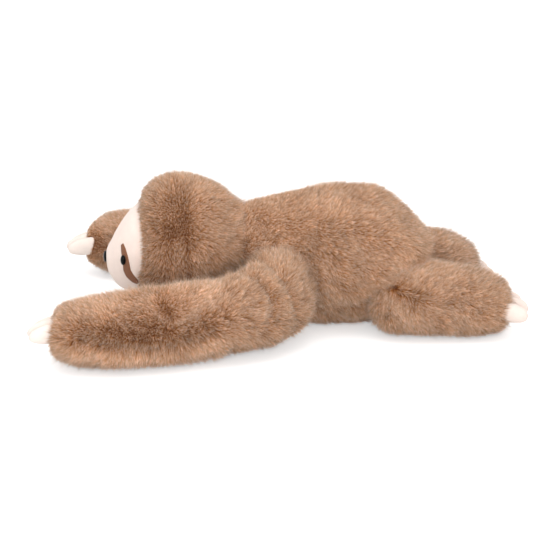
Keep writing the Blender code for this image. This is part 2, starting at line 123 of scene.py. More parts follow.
# Down the torso behind the shoulder
SHOULDER_CREASE = (
    (0.0126, -0.0696, 0.1106), (0.0228, -0.0747, 0.1026), (0.0309, -0.08, 0.0802),
    (0.0349, -0.0699, 0.0461), (0.03, -0.065, 0.02),
)
# Round the front of the thigh
LEG_CREASE = (
    (0.1, -0.064, 0.03), (0.1096, -0.0772, 0.0512), (0.1187, -0.0746, 0.0662),
)
# Where the thigh's pile swirls
LEG_WHORL = (
    (0.1154, -0.0725, 0.0655), (0.1318, -0.0842, 0.0635), (0.1477, -0.0883, 0.0577),
)
# Along the side of the leg
LEG_SEAM = (
    (0.1477, -0.0883, 0.056), (0.1774, -0.0916, 0.0503), (0.2238, -0.0885, 0.0443),
)
# Low on the flank
BELLY_PARTING = ((0.0387, -0.0597, 0.0337), (0.0643, -0.0608, 0.0354), (0.09, -0.0603, 0.0352))
# The two folds of the bent arm, the one at the shoulder and the one at the elbow
UPPER_FOLD = (
    (-0.042, -0.07, 0.078), (-0.0321, -0.0766, 0.0888), (-0.0194, -0.108, 0.0923),
    (-0.0059, -0.1279, 0.079), (0.0008, -0.1314, 0.0589), (0.0021, -0.1209, 0.0382),
    (-0.004, -0.112, 0.022),
)
ELBOW_FOLD = (
    (-0.06, -0.098, 0.076), (-0.0475, -0.1143, 0.0849), (-0.0371, -0.1295, 0.0843),
    (-0.0259, -0.1396, 0.0773), (-0.0204, -0.1451, 0.0663), (-0.0259, -0.1491, 0.0512),
    (-0.0416, -0.1459, 0.0334), (-0.0593, -0.1551, 0.025), (-0.0661, -0.1521, 0.016),
)
# Where the near leg's top meets the rump
LEG_FILL = (
    (0.114, -0.072, 0.074), (0.1325, -0.065, 0.08), (0.152, -0.056, 0.085),
    (0.1716, -0.048, 0.089),
)
# Under the elbow
NOTCH = ((-0.0661, -0.1521, 0.026), (-0.0661, -0.1521, 0.016), (-0.064, -0.143, 0.01))


# Tables and interpolation


def through(rows, count, squared=()):
    """Smooth values through the rows of a table, at count places.

    A squared column rounds off at its ends.
    """
    table = np.array(rows, float)
    x = table[:, 0]
    at = np.linspace(x[0], x[-1], count)
    out = [at]
    for column in range(1, table.shape[1]):
        y = table[:, column] ** 2 if column in squared else table[:, column]
        h = np.diff(x)
        d = np.diff(y) / h
        # Slopes at the rows that never overshoot
        m = np.concatenate([[d[0]], np.zeros(len(d) - 1), [d[-1]]])
        same = d[:-1] * d[1:] > 0
        one = 2 * h[1:] + h[:-1]
        two = h[1:] + 2 * h[:-1]
        safe0 = np.where(same, d[:-1], 1)
        safe1 = np.where(same, d[1:], 1)
        m[1:-1] = np.where(same, (one + two) / (one / safe0 + two / safe1), 0)
        i = np.clip(np.searchsorted(x, at, side="right") - 1, 0, len(h) - 1)
        t = (at - x[i]) / h[i]
        low = y[i] * (1 + 2 * t) * (1 - t) ** 2 + m[i] * h[i] * t * (1 - t) ** 2
        high = y[i + 1] * t * t * (3 - 2 * t) - m[i + 1] * h[i] * t * t * (1 - t)
        value = low + high
        out.append(np.sqrt(np.maximum(value, 0)) if column in squared else value)
    return np.stack(out, 1)


def mix(one, two, share):
    return one + (two - one) * share


def unit(v):
    return v / np.maximum(np.linalg.norm(v, axis=1), 1e-9)[:, None]


def ramp(values, start, span):
    """0 up to start and 1 from start + span on, straight between. A negative span runs down."""
    return np.clip((values - start) / span, 0, 1)


def bell(far, width):
    """1 on a line, falling away smoothly over about this width."""
    return np.exp(-((far / width) ** 2))


def waves(seed, size, count=8):
    """Smooth noise over space with bumps of about this size, mostly between -1 and 1."""
    made = np.random.default_rng(seed)
    ways = unit(made.normal(0, 1, (count, 3)))
    ways = ways * (math.tau / size / made.uniform(0.7, 1.8, count))[:, None]
    starts = made.uniform(0, math.tau, count)
    return lambda p: np.sin(p @ ways.T + starts).sum(1) / 3


def mirrored(point, side):
    return Vector((point[0], point[1] * side, point[2]))


def line_on(line, side):
    """One of the lines above, on the side asked for."""
    return np.array(line, float) * (1, -side, 1)


# Skins


def sweep(name, rings, count, squareness=(2, 2)):
    """Rings bridged into one closed skin.

    A ring is (centre, across, up, half width, half height), and squareness gives the power of its
    oval above and below the middle, where 2 makes an ellipse.
    """
    bm = bmesh.new()
    before = None
    for centre, across, up, width, height in rings:
        axis = across.cross(up)
        place = Matrix((across * width, up * height, axis)).transposed().to_4x4()
        place.translation = centre
        made = bmesh.ops.create_circle(bm, segments=count, radius=1)
        for v in made["verts"]:
            power = 2 / squareness[v.co.y <= 0]
            c = math.copysign(abs(v.co.x) ** power, v.co.x)
            s = math.copysign(abs(v.co.y) ** power, v.co.y)
            v.co = place @ Vector((c, s, 0))
        edges = list({e for v in made["verts"] for e in v.link_edges})
        if before is not None:
            bmesh.ops.bridge_loops(bm, edges=before + edges)
        else:
            bmesh.ops.contextual_create(bm, geom=edges)
        before = edges
    bmesh.ops.contextual_create(bm, geom=before)
    bmesh.ops.recalc_face_normals(bm, faces=bm.faces)
    return piece(name, bm)


def placed(name, data):
    obj = bpy.data.objects.new(name, data)
    bpy.context.scene.collection.objects.link(obj)
    return obj


def piece(name, bm):
    mesh = bpy.data.meshes.new(name)
    for face in bm.faces:
        face.smooth = True
    bm.to_mesh(mesh)
    bm.free()
    return placed(name, mesh)


def vectors(items, field):
    """One 3-vector of each item."""
    found = np.empty(len(items) * 3)
    items.foreach_get(field, found)
    return found.reshape(-1, 3)


def coordinates(obj):
    return vectors(obj.data.vertices, "co")


def vertex_normals(obj):
    return vectors(obj.data.vertex_normals, "vector")


def reshape(obj, co):
    obj.data.vertices.foreach_set("co", co.ravel())
    obj.data.update()


def distance_to(points, line):
    """Distance of each point from a polyline, and the nearest place on it."""
    best = np.full(len(points), 1e9)
    near = np.zeros_like(points)
    line = np.array(line, float)
    for one, two in zip(line, line[1:]):
        d = two - one
        t = np.clip(((points - one) @ d) / (d @ d), 0, 1)
        foot = one + t[:, None] * d
        far = np.linalg.norm(points - foot, axis=1)
        closer = far < best
        best[closer] = far[closer]
        near[closer] = foot[closer]
    return best, near


def dip(obj, creases):
    """Draws a skin in along lines. A crease is (line, half width, depth)."""
    co = coordinates(obj)
    move = np.zeros(len(co))
    for line, width, depth in creases:
        move += depth * bell(distance_to(co, line)[0], width)
    reshape(obj, co - vertex_normals(obj) * move[:, None])


def applied(obj):
    """The object's mesh with its modifiers applied, smooth."""
    graph = bpy.context.evaluated_depsgraph_get()
    mesh = bpy.data.meshes.new_from_object(obj.evaluated_get(graph))
    mesh.polygons.foreach_set("use_smooth", np.ones(len(mesh.polygons), bool))
    return mesh


def above_floor(obj):
    co = coordinates(obj)
    co[:, 2] = np.maximum(co[:, 2], skin_floor)
    reshape(obj, co)


# Stuffing: how much slimmer a cover starts, how far it may swell, the cloth's cells and frames,
# and how far a seam and the table hold it
swell_from = 0.0016
swell_most = 0.0022
cloth_cell = 0.005
cloth_frames = 20
seam_hold = 0.006
floor_hold = 0.004


def stuff(skins):
    """Blows the covers, each (object, seam lines), up like stuffed cloth held at its seams."""
    held = []
    for obj, seams in skins:
        reshape(obj, coordinates(obj) - vertex_normals(obj) * swell_from)
        remesh = obj.modifiers.new("remesh", "REMESH")
        remesh.mode = "VOXEL"
        remesh.voxel_size = cloth_cell
        obj.data = applied(obj)
        obj.modifiers.clear()
        base = coordinates(obj)
        hold = np.clip(1 - base[:, 2] / floor_hold, 0, 1)
        for line in seams:
            hold = np.maximum(hold, bell(distance_to(base, line)[0], seam_hold))
        pins = obj.vertex_groups.new(name="seam")
        for i in np.nonzero(hold > 0.03)[0]:
            pins.add([int(i)], float(hold[i]), "REPLACE")
        cloth = obj.modifiers.new("cloth", "CLOTH")
        cloth.settings.quality = 5
        cloth.settings.use_pressure = True
        cloth.settings.uniform_pressure_force = 4
        cloth.settings.shrink_min = -0.02
        cloth.settings.effector_weights.gravity = 0
        cloth.settings.vertex_group_mass = pins.name
        cloth.point_cache.frame_start = 1
        cloth.point_cache.frame_end = cloth_frames
        held.append((obj, base))
    scene = bpy.context.scene
    for number in range(1, cloth_frames + 1):
        scene.frame_set(number)
    for obj, base in held:
        move = vectors(applied(obj).vertices, "co") - base
        far = np.linalg.norm(move, axis=1)
        move *= (np.minimum(far, swell_most) / np.maximum(far, 1e-9))[:, None]
        obj.modifiers.clear()
        obj.vertex_groups.clear()
        reshape(obj, base + move)
        rounder = obj.modifiers.new("rounder", "SUBSURF")
        rounder.levels = 1
        rounder.render_levels = 1
        obj.data = applied(obj)
        obj.modifiers.clear()
    scene.frame_set(1)


# Torso, with 2.08 and 1.55 for the squareness of its back and belly

# Place from the front, top, bottom and width, in shares of the torso's sizes
TORSO = (
    (-0.06, 0.76, 0.22, 0.1),
    (0.0, 0.86, 0.19, 0.615),
    (0.02, 0.885, 0.155, 0.68),
    (0.08, 0.903, 0.045, 0.81),
    (0.17, 0.925, 0.0, 0.93),
    (0.32, 0.962, 0.0, 0.985),
    (0.5, 1.0, 0.0, 1.0),
    (0.65, 0.995, 0.0, 0.99),
    (0.74, 0.965, 0.12, 0.965),
    (0.8, 0.905, 0.28, 0.92),
    (0.86, 0.825, 0.42, 0.84),
    (0.92, 0.735, 0.48, 0.69),
    (0.97, 0.665, 0.53, 0.44),
    (1.0, 0.622, 0.6, 0.08),
)
# The belly's lowest line lies this far under the table's level and is pressed flat
torso_sag = 0.004


def torso_rings():
    rings = []
    for at, top, bottom, width in through(TORSO, 64, squared=(3,)):
        high = top * torso_height
        low = bottom * torso_height - torso_sag
        x = at * (torso_rear - torso_front) + torso_front
        centre = Vector((x, 0, (high + low) / 2))
        rings.append((centre, Y, Z, width * torso_half_width, (high - low) / 2))
    return rings


torso = sweep("torso_skin", torso_rings(), 64, (2.08, 1.55))

# Head and face

head_depth = abs(seam_x) + neck.x
# Place behind the face's seam, size, and how far the ring has dropped to the neck
HOOD = (
    (0.0, 0.69, 0.14),
    (0.048, 0.765, 0.1),
    (0.133, 0.873, 0.04),
    (0.26, 0.946, 0.0),
    (0.494, 1.0, 0.05),
    (0.723, 0.982, 0.25),
    (0.952, 0.91, 0.5),
    (1.096, 0.843, 0.7),
    (1.184, 0.774, 0.85),
    (1.255, 0.71, 1.0),
    (1.44, 0.594, 1.0),
    (1.588, 0.455, 1.0),
    (1.7, 0.253, 1.0),
    (1.745, 0.05, 1.0),
)


def hood_ring(at, size, drop, proud=0.0):
    centre = Vector((seam_x + at * head_depth, 0, mix(hood_middle, neck.z, drop)))
    return (centre, Y, Z, size * hood_half_width + proud, size * hood_half_height + proud)


hood_rows = through(HOOD, 56, squared=(1,))
head = sweep("head_skin", [hood_ring(*row) for row in hood_rows], 64)

# Place ahead of the seam, drop, height and width
FACE = (
    (0.0, 0.0, 1.0, 1.0),
    (0.116, 0.03, 0.978, 0.973),
    (0.256, 0.069, 0.931, 0.893),
    (0.442, 0.142, 0.832, 0.759),
    (0.605, 0.216, 0.716, 0.616),
    (0.744, 0.267, 0.578, 0.482),
    (0.86, 0.293, 0.414, 0.357),
    (0.953, 0.284, 0.27, 0.24),
    (1.0, 0.224, 0.03, 0.03),
)
face_rows = through(FACE, 64, squared=(2, 3))


def face_ring(at, drop, tall_share, wide_share):
    centre = Vector((seam_x - at * face_depth, 0, face_middle - drop * face_half_height))
    return (centre, Y, Z, wide_share * face_half_width, tall_share * face_half_height)


# The face's rim runs a little way under the pile's edge, just over the hood
rim_depth = 0.15
HOOD_FRONT = HOOD[:5]
rim_rows = through(HOOD_FRONT, 60, squared=(1,))[:0:-1]
rim = [hood_ring(*row, proud=0.0006) for row in rim_rows if row[0] < rim_depth]
face = sweep("face_skin", rim + [face_ring(*row) for row in face_rows], 96)

# Height, and how far behind the face's seam the pile starts
SEAM_EDGE = ((0.066, 0.0005), (0.082, 0.0045), (0.1, 0.0062), (0.122, 0.006), (0.14, 0.0002))


def seam_edge(p):
    return np.interp(p[:, 2], *zip(*SEAM_EDGE))


def over_face(p):
    """How far a point lies outside the pale edge of the face, in shares of the face's size."""
    scaled = (p - (0, 0, face_middle)) / (1, face_half_width, face_half_height)
    share = np.linalg.norm(scaled * (0, 1, 1), axis=1)
    return share - 1.005 - 0.2 * ramp(p[:, 2], 0.136, -0.024)


def high_up(p):
    return ramp(p[:, 2], 0.108, 0.006)


# The rim dives under the hood where the pile starts, and lies back under the pile over the brow
face_points = coordinates(face)
behind_seam = face_points[:, 0] - seam_x - seam_edge(face_points)
sink = 0.007 * ramp(behind_seam, 0.003, 0.003)
outward = unit((face_points - (0, 0, face_middle)) * (0, 1, 1))
back = 0.005 * ramp(over_face(face_points), 0, 0.02) * high_up(face_points)
reshape(face, face_points - outward * sink[:, None] + np.array((1.0, 0, 0)) * back[:, None])

# Arms, legs and claws

# Place round the bend, size and turn in degrees
ARM_BEND = (
    (0.1, 0.99, 2),
    (0.3, 1.0, 8),
    (0.41, 1.05, 20),
    (0.5, 0.955, 31),
    (0.59, 1.05, 42),
    (0.64, 1.04, 47),
    (0.71, 0.985, 56),
    (0.8, 1.02, 66),
    (0.89, 1.01, 74),
    (1.0, 1.0, 80),
)
# Place along the forearm, way outwards, drop and size
FOREARM = (
    (0.11, 0.2, 0.15, 1.0),
    (0.235, 0.43, 0.3, 1.0),
    (0.42, 0.71, 0.4, 0.99),
    (0.61, 0.93, 0.5, 0.955),
    (0.734, 0.98, 0.6, 0.89),
    (0.82, 1.0, 0.7, 0.835),
    (0.9, 1.0, 0.8, 0.735),
    (0.952, 1.0, 0.9, 0.62),
    (0.986, 1.0, 1.0, 0.45),
    (1.0, 1.0, 1.0, 0.1),
)
# Place along the leg, drop, size and breadth
LEG = (
    (0.0, 0.0, 1.0, 1.0),
    (0.11, 0.0, 1.0, 1.0),
    (0.28, 0.1, 1.0, 1.0),
    (0.44, 0.25, 0.985, 1.0),
    (0.59, 0.45, 0.95, 1.03),
    (0.72, 0.65, 0.89, 1.11),
    (0.82, 0.8, 0.8, 1.22),
    (0.9, 0.9, 0.71, 1.33),
    (0.965, 1.0, 0.54, 1.55),
    (1.0, 1.0, 0.1, 2.0),
)


def by_length(table, count, squared, least=0):
    """Smooth rows through a table of places and sizes, spaced by the way from place to place."""
    far = [0]
    for one, two in zip(table, table[1:]):
        far.append(far[-1] + max((Vector(two[:3]) - Vector(one[:3])).length, least))
    return through([(f, *row) for f, row in zip(far, table)], count, squared=squared)[:, 1:]


def ball(centre, outward, radius):
    """Places and sizes of the rings round the ball where a limb starts."""
    angles = [math.radians(degrees) for degrees in (12, 25, 48, 72)]
    return [(centre - outward * math.cos(a) * radius, math.sin(a) * radius) for a in angles]


def arm_rings(side):
    """The arm in one sweep, from inside the shoulder round the bend to the hand."""
    shoulder, corner, elbow, hand = map(Vector, (shoulder_at, arm_corner, elbow_at, hand_at))
    table = [(*centre, 0, size, 1) for centre, size in ball(shoulder, Y, shoulder_ball)]
    for place, size, turn in ARM_BEND:
        centre = mix(mix(shoulder, corner, place), mix(corner, elbow, place), place)
        # The shoulder's lobe sags towards the table
        sag = max(1 - abs(place - 0.4) / 0.4, 0)
        table.append((*(centre - Z * sag * 0.005), turn, size * arm_radius * (1 + 0.08 * sag), 1))
    for place, out, drop, size in FOREARM:
        # The hand ends broad and blunt
        blunt = max(place - 0.75, 0) / 0.25
        y = mix(elbow.y, hand.y, out) - 0.0025 * blunt
        centre = Vector((mix(elbow.x, hand.x, place), y, mix(elbow.z, hand.z, drop)))
        turn = mix(80, 90, min(place * 1.5, 1))
        table.append((*centre, turn, size * arm_radius, 1 + 0.28 * blunt * blunt))
    rings = []
    for x, y, z, turn, radius, broad in by_length(table, 110, (5,), least=0.004):
        angle = math.radians(turn)
        ahead = Vector((-math.sin(angle), side * math.cos(angle), 0))
        rings.append((Vector((x, y * side, z)), Z.cross(ahead), Z, radius * broad, radius))
    return rings


def foot_at(letter, side):
    x = mirrored(hip_at, side).x + leg_lengths[letter]
    return Vector((x, side * (foot_side + leg_out[letter]), foot_height))


def leg_rings(letter, side):
    hip = mirrored(hip_at, side)
    foot = foot_at(letter, side)
    table = [(*centre, size, size) for centre, size in ball(hip, X, leg_radius)]
    for place, drop, size, broad in LEG:
        x, y = (mix(hip[k], foot[k], place) for k in range(2))
        centre = Vector((x, y, mix(hip.z, foot.z, drop)))
        centre.z += leg_lift[letter] * math.sin(math.pi * place)
        table.append((*centre, size * leg_radius, size * leg_radius * broad))
    return [(Vector((x, y, z)), Y, Z, w, r) for x, y, z, r, w in by_length(table, 72, (4, 5))]


# Root and tip of each claw's axis, and its half width
claw_axes = []


def make_claws(kind, letter, side, end, direction, row, longer):
    """Three blunt stuffed claws with a smooth velour skin at a limb's end."""
    made = []
    for number, place in enumerate((-1, 0, 1), 1):
        y = end[1] - side * (place * row["spacing"] + row["inward"])
        back = side_claw_back * abs(place)
        root = Vector((end[0] - direction * (row["root"] + back), y, row["height"]))
        tip = Vector((end[0] + direction * (row["reach"] + longer - back), y, row["height"]))
        claw_axes.append((root, tip, row["half_width"]))
        long = (tip - root).length
        across = (tip - root).normalized().cross(Z)
        rings = []
        for share, size in through(row["form"], 26, squared=(1,)):
            centre = mix(root, tip, share) - Z * share * share * claw_droop * long
            half_width = size * row["half_width"] + claw_skin
            rings.append((centre, across, Z, half_width, size * claw_half_height + claw_skin))
        claw = sweep(f"{kind}_claw_form_{letter}{number}", rings, 32)
        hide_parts(f"{kind}_claw_{letter}{number}")
        made.append(claw)
    return made


arms, legs, claws = {}, {}, {}
for letter, side in SIDES:
    arms[letter] = sweep("arm_skin_" + letter, arm_rings(side), 48)
    legs[letter] = sweep("leg_skin_" + letter, leg_rings(letter, side), 48)
    hand = mirrored(hand_at, side)
    foot = foot_at(letter, side)
    longer = near_claw_longer * (side < 0)
    claws[letter] = (
        make_claws("hand", letter, side, hand, -1, hand_claws, longer),
        make_claws("foot", letter, side, foot, 1, foot_claws, 0),
    )

# Each cover with the lines that it is drawn in along
face_seams = []
turns = np.linspace(0, 2 * math.pi, 33)
for at in (0.0, 0.05, 0.1, rim_depth):
    size = float(np.interp(at, *zip(*[row[:2] for row in HOOD_FRONT])))
    centre, _, _, across, tall = hood_ring(at, size, 0.05)
    ring = np.stack((0 * turns, across * np.cos(turns), tall * np.sin(turns)), axis=1)
    face_seams.append(np.array(centre) + ring)
skins = [(torso, []), (head, face_seams)]
for letter, side in SIDES:
    skins[0][1].extend(line_on(line, side) for line in (SHOULDER_CREASE, BELLY_PARTING))
    arm_seams = (UPPER_FOLD, ELBOW_FOLD, FOREARM_PARTING)
    skins.append((arms[letter], [line_on(line, side) for line in arm_seams]))
    skins.append((legs[letter], [line_on(LEG_SEAM, side)]))
stuff(skins)
crease_width, crease_depth = 0.006, 0.0016
for obj, seams in skins:
    if obj is not head:
        dip(obj, [(line, crease_width, crease_depth) for line in seams])
# Fuller where the near leg meets the rump, and beside the arm's folds
fill_reach = 0.014
for obj in (torso, legs["l"]):
    dip(obj, [(line_on(LEG_FILL, -1), fill_reach, -0.006)])
for letter, side in SIDES:
    folds = [line_on(line, side) for line in (UPPER_FOLD, ELBOW_FOLD)]
    swell = [(line - (0.012, 0, 0), 0.008, -0.0014) for line in folds]
    dip(arms[letter], swell + [(line_on(NOTCH, side), 0.008, 0.0022)])
for skin in (torso, head, face, *arms.values(), *legs.values()):
    above_floor(skin)

# Materials

MATERIALS = {}
# Place along a strand and its colour there
STRAND_STEPS = (
    (0.0, (0.08, 0.023, 0.007)),
    (0.3, (0.33, 0.114, 0.031)),
    (0.65, (0.65, 0.372, 0.214)),
    (1.0, (0.93, 0.77, 0.65)),
)


def add_node(nodes, kind, operation=None, **values):
    """A shader node with these values in its inputs, whose names have _ for each space."""
    made = nodes.new("ShaderNode" + kind)
    if operation:
        made.operation = operation
    for label, value in values.items():
        made.inputs[label.replace("_", " ")].default_value = value
    return made


def shader_group(name, **outputs):
    """An empty node group with these outputs, its nodes, its links and its output node."""
    group = bpy.data.node_groups.new(name, "ShaderNodeTree")
    for label, kind in outputs.items():
        kind = "NodeSocket" + kind
        group.interface.new_socket(name=label, in_out="OUTPUT", socket_type=kind)
    return group, group.nodes, group.links, group.nodes.new("NodeGroupOutput")


def strand_colour_group():
    """Colour of a strand: dark at the root, light at the tip, scaled by its tone, which holds random
    tone and painted light and shade.
    """
    group, nodes, links, out = shader_group("strand_colour", Color="Color")
    uv = add_node(nodes, "UVMap")
    uv.uv_map = "OFBake"
    split = add_node(nodes, "SeparateXYZ")
    steps = add_node(nodes, "ValToRGB")
    stops = steps.color_ramp.elements
    for i, (at, colour) in enumerate(STRAND_STEPS):
        stop = stops[i] if i < 2 else stops.new(at)
        stop.position = at
        stop.color = (*colour, 1)
    lift = add_node(nodes, "MapRange", To_Min=0.4, To_Max=1.6)
    scale = add_node(nodes, "VectorMath", "SCALE")
    links.new(uv.outputs[0], split.inputs[0])
    links.new(split.outputs["Y"], steps.inputs[0])
    links.new(split.outputs["X"], lift.inputs[0])
    links.new(steps.outputs[0], scale.inputs[0])
    links.new(lift.outputs[0], scale.inputs["Scale"])
    links.new(scale.outputs[0], out.inputs[0])
    return group


def cloth_group():
    """Short velour nap: a fine mottle for the colour and a bumpy normal."""
    group, nodes, links, out = shader_group("nap", Shade="Float", Normal="Vector")
    where = add_node(nodes, "TexCoord")
    noise = add_node(nodes, "TexNoise", Scale=1100, Detail=3)
    soft = add_node(nodes, "TexNoise", Scale=90)
    both = add_node(nodes, "Math", "MULTIPLY_ADD")
    both.inputs[1].default_value = 0.5
    shade = add_node(nodes, "MapRange", From_Min=0.45, From_Max=1.05, To_Min=0.93, To_Max=1.03)
    bump = add_node(nodes, "Bump", Strength=0.35, Distance=0.0004)
    for spot in (noise, soft):
        links.new(where.outputs["Object"], spot.inputs["Vector"])
    links.new(noise.outputs[0], both.inputs[0])
    links.new(soft.outputs[0], both.inputs[2])
    links.new(both.outputs[0], shade.inputs[0])
    links.new(noise.outputs[0], bump.inputs["Height"])
    links.new(shade.outputs[0], out.inputs["Shade"])
    links.new(bump.outputs[0], out.inputs["Normal"])
    return group


NAP = cloth_group()
SURFACE = ("Base Color", "Roughness", "Sheen Weight", "Specular IOR Level")


def material(name, colour, rough, sheen=0.0, specular=0.25, nap=False):
    made = bpy.data.materials.new(name)
    made.use_nodes = True
    nodes, links = made.node_tree.nodes, made.node_tree.links
    shader = nodes["Principled BSDF"]
    for label, value in zip(SURFACE, ((*colour, 1), rough, sheen, specular)):
        shader.inputs[label].default_value = value
    if nap:
        group = add_node(nodes, "Group")
        group.node_tree = NAP
        scale = add_node(nodes, "VectorMath", "SCALE")
        scale.inputs[0].default_value = colour
        links.new(group.outputs["Shade"], scale.inputs["Scale"])
        links.new(scale.outputs[0], shader.inputs["Base Color"])
        links.new(group.outputs["Normal"], shader.inputs["Normal"])
    MATERIALS[name] = made
    return made


fur_material = material("fur", (0.5, 0.3, 0.2), 0.85, specular=0.06)
fur_nodes = fur_material.node_tree.nodes
strand_colour = add_node(fur_nodes, "Group")
strand_colour.node_tree = strand_colour_group()
base_colour = fur_nodes["Principled BSDF"].inputs["Base Color"]
fur_material.node_tree.links.new(strand_colour.outputs[0], base_colour)
material("backing", (0.15, 0.06, 0.026), 1.0, nap=True)
material("velboa", (0.88, 0.735, 0.66), 0.9, 0.15, nap=True)
material("stripe", (0.22, 0.095, 0.05), 0.9, 0.1, nap=True)
# One felt in two copies: painted light on the hand's claws, painted shade on the foot's
material("felt", (0.88, 0.77, 0.7), 0.95, 0.15, nap=True)
material("foot_felt_painted_shade", (0.82, 0.69, 0.62), 0.95, 0.15, nap=True)
material("black", (0.003, 0.003, 0.003), 0.3, 0, 0.12)
material("fill", (0.88, 0.88, 0.86), 1.0, nap=True)
material("washer", (0.85, 0.85, 0.82), 0.45)


def dress(obj, name):
    obj.data.materials.clear()
    obj.data.materials.append(MATERIALS[name])


# Pile

# A strand's radius, and the turn, lean, tone and lengths that it gets at random
strand_radius = 0.00034
turn_spread = 0.3
lean_spread = 0.17
strand_tone = 0.08
strand_lengths = (0.6, 1.2)
# The share of strands that stray, and how much longer those are
stray_share = 0.15
stray_lengths = (1.05, 1.5)
# A tuft's breadth, strands and pull at its tips, and its stretch, shift and tone at random
tuft = 0.0022
tuft_strands = tuft * tuft * 1.5e6
tuft_pull = 0.72
tuft_stretch = 0.09
tuft_shift = 0.0011
tuft_tone = 0.13
# No tip goes past these, and no root lies nearer a claw's axis or lower
highest = 0.1845
widest = 0.214
claw_clear = 0.0112
root_floor = 0.0012
claw_trim = 0.38


def along_skin(ways, normal):
    """The part of each way that lies along the skin, as a unit vector."""
    return unit(ways - normal * (ways * normal).sum(1)[:, None])


def roots_on(obj, count, weight):
    """Random places on a skin with their normals. weight gives each face's share of the pile."""
    mesh = obj.data
    mesh.calc_loop_triangles()
    corners = np.empty(len(mesh.loop_triangles) * 3, np.int32)
    mesh.loop_triangles.foreach_get("vertices", corners)
    corners = corners.reshape(-1, 3)
    co = coordinates(obj)
    normals = vertex_normals(obj)
    a, b, c = co[corners[:, 0]], co[corners[:, 1]], co[corners[:, 2]]
    area = np.linalg.norm(np.cross(b - a, c - a), axis=1) / 2
    area = area * weight((a + b + c) / 3, unit(np.cross(b - a, c - a)))
    total = np.cumsum(area)
    steps = (np.arange(count) + random.random(count)) / count * total[-1]
    chosen = np.minimum(np.searchsorted(total, steps), len(area) - 1)
    u = np.sqrt(random.random(count))[:, None]
    v = random.random(count)[:, None]
    ta, tb, tc = 1 - u, u * (1 - v), u * v
    k = corners[chosen]
    place = ta * co[k[:, 0]] + tb * co[k[:, 1]] + tc * co[k[:, 2]]
    normal = ta * normals[k[:, 0]] + tb * normals[k[:, 1]] + tc * normals[k[:, 2]]
    return place, unit(normal)


def needle():
    """One strand: a three-sided cone of unit length and radius."""
    bm = bmesh.new()
    bmesh.ops.create_cone(bm, cap_ends=False, segments=3, radius1=1, radius2=0, depth=1)
    bmesh.ops.remove_doubles(bm, verts=bm.verts, dist=1e-4)
    bmesh.ops.translate(bm, vec=Z / 2, verts=bm.verts)
    bmesh.ops.recalc_face_normals(bm, faces=bm.faces)
    bm.verts.index_update()
    verts = np.array([v.co for v in bm.verts])
    faces = np.array([[v.index for v in f.verts] for f in bm.faces])
    middle = verts[faces].mean(1)
    way = np.cross(verts[faces[:, 1]] - verts[faces[:, 0]], verts[faces[:, 2]] - verts[faces[:, 0]])
    inward = (way * middle)[:, :2].sum(1) < 0
    faces[inward] = faces[inward][:, ::-1]
    bm.free()
    return verts, faces


def nearest_of(points):
    """Gives, for each point asked about, the number of the nearest of these points."""
    tree = KDTree(len(points))
    for i, point in enumerate(points):
        tree.insert(point, i)
    tree.balance()
    return lambda asked: np.array([tree.find(point)[1] for point in asked])


def strands(place, normal, lay, lean, length, tone_with_painted_light):
    """Tips and tones of the strands, random tone added to painted light and shade. Those of one tuft
    draw together at their tips.
    """
    count = len(place)
    lay = along_skin(lay, normal)
    side = np.cross(normal, lay)
    turn = random.normal(0, turn_spread, count)[:, None]
    lay = lay * np.cos(turn) + side * np.sin(turn)
    stray = random.random(count) < stray_share
    angle = lean * np.where(stray, 0.7, 1) + random.normal(0, lean_spread, count)
    angle = np.clip(angle, -0.2, 1.45)[:, None]
    way = normal * np.cos(angle) + lay * np.sin(angle)
    reach = length * random.uniform(*strand_lengths, count)
    reach[stray] *= random.uniform(*stray_lengths, stray.sum())
    tips = place + way * reach[:, None]
    centres = max(int(count / tuft_strands), 1)
    picks = random.integers(0, count, centres)
    nearest = nearest_of(tips[picks])(tips)
    stretch = random.normal(1, tuft_stretch, centres)[nearest][:, None]
    shift = random.normal(0, tuft_shift, (centres, 3))[nearest]
    target = place + (tips[picks[nearest]] - place) * stretch + shift
    away = np.linalg.norm(target - tips, axis=1)
    pull = tuft_pull * bell(away, tuft * 1.8) * random.uniform(0.55, 1, count)
    pull[stray] = 0
    tips = mix(tips, target, pull[:, None])
    tone_with_painted_light = tone_with_painted_light + random.normal(0, tuft_tone, centres)[nearest]
    tone_with_painted_light = tone_with_painted_light + random.normal(0, strand_tone, count)
    # Nothing goes below the table, and the longest strands bend in a little
    ceiling = highest - 0.003 * random.random(count)
    tips[:, 2] = np.minimum(tips[:, 2], ceiling)
    tips[:, 1] = np.clip(tips[:, 1], -widest, widest)
    floor = 0.0008 + 0.002 * random.random(count)
    low = tips[:, 2] < floor
    tips[low, 2] = floor[low]
    return tips, way, tone_with_painted_light, np.where(stray, 0.85, 1.0)


